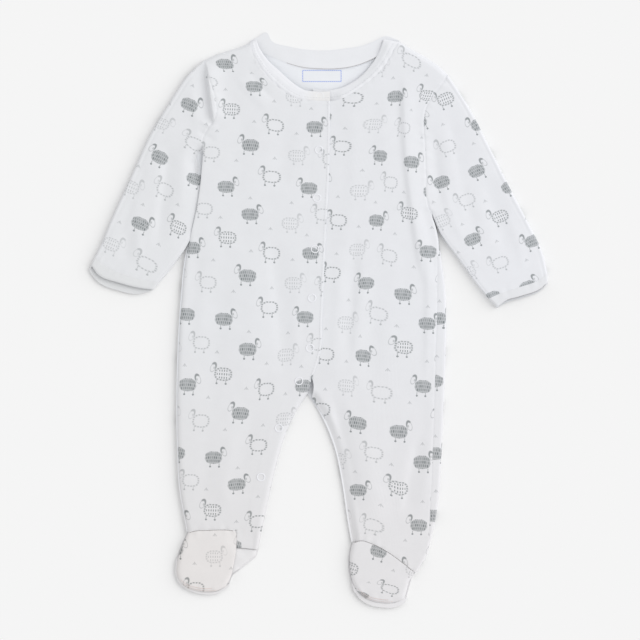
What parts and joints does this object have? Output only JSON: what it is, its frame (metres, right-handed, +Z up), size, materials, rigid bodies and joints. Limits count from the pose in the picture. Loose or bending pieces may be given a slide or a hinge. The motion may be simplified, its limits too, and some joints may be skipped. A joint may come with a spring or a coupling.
{
  "type": "baby sleepsuit",
  "caption": "Footed long-sleeved baby sleepsuit of printed cotton jersey, laid flat on its back, with a curved popper placket down the front and one leg.",
  "frame": {"origin": "On the surface the suit lies on, under the middle of its outline.", "axes": "+Y runs from the feet to the neck, +X to the side of the lower front (the wearer's left arm), and +Z up out of the cloth."},
  "size_m": [0.4589, 0.5751, 0.0084],
  "materials": {
    "printed_jersey": "matte",
    "plain_jersey": "matte",
    "popper_plastic": "gloss"
  },
  "bodies": {
    "root": {"back_panel": "printed_jersey", "front_over": "printed_jersey", "front_under": "printed_jersey", "sleeve_left": "printed_jersey", "sleeve_right": "printed_jersey", "instep_left": "printed_jersey", "instep_right": "printed_jersey", "cuff_left": "plain_jersey", "cuff_right": "plain_jersey", "neckband_back": "plain_jersey", "neckband_over": "plain_jersey", "neckband_under": "plain_jersey", "heel_left": "plain_jersey", "sole_left": "plain_jersey", "sole_right": "plain_jersey", "popper_1": "popper_plastic", "popper_2": "popper_plastic", "popper_3": "popper_plastic", "popper_4": "popper_plastic", "popper_5": "popper_plastic", "popper_6": "popper_plastic", "popper_7": "popper_plastic", "popper_8": "popper_plastic", "popper_9": "popper_plastic"}
  },
  "joints": []
}
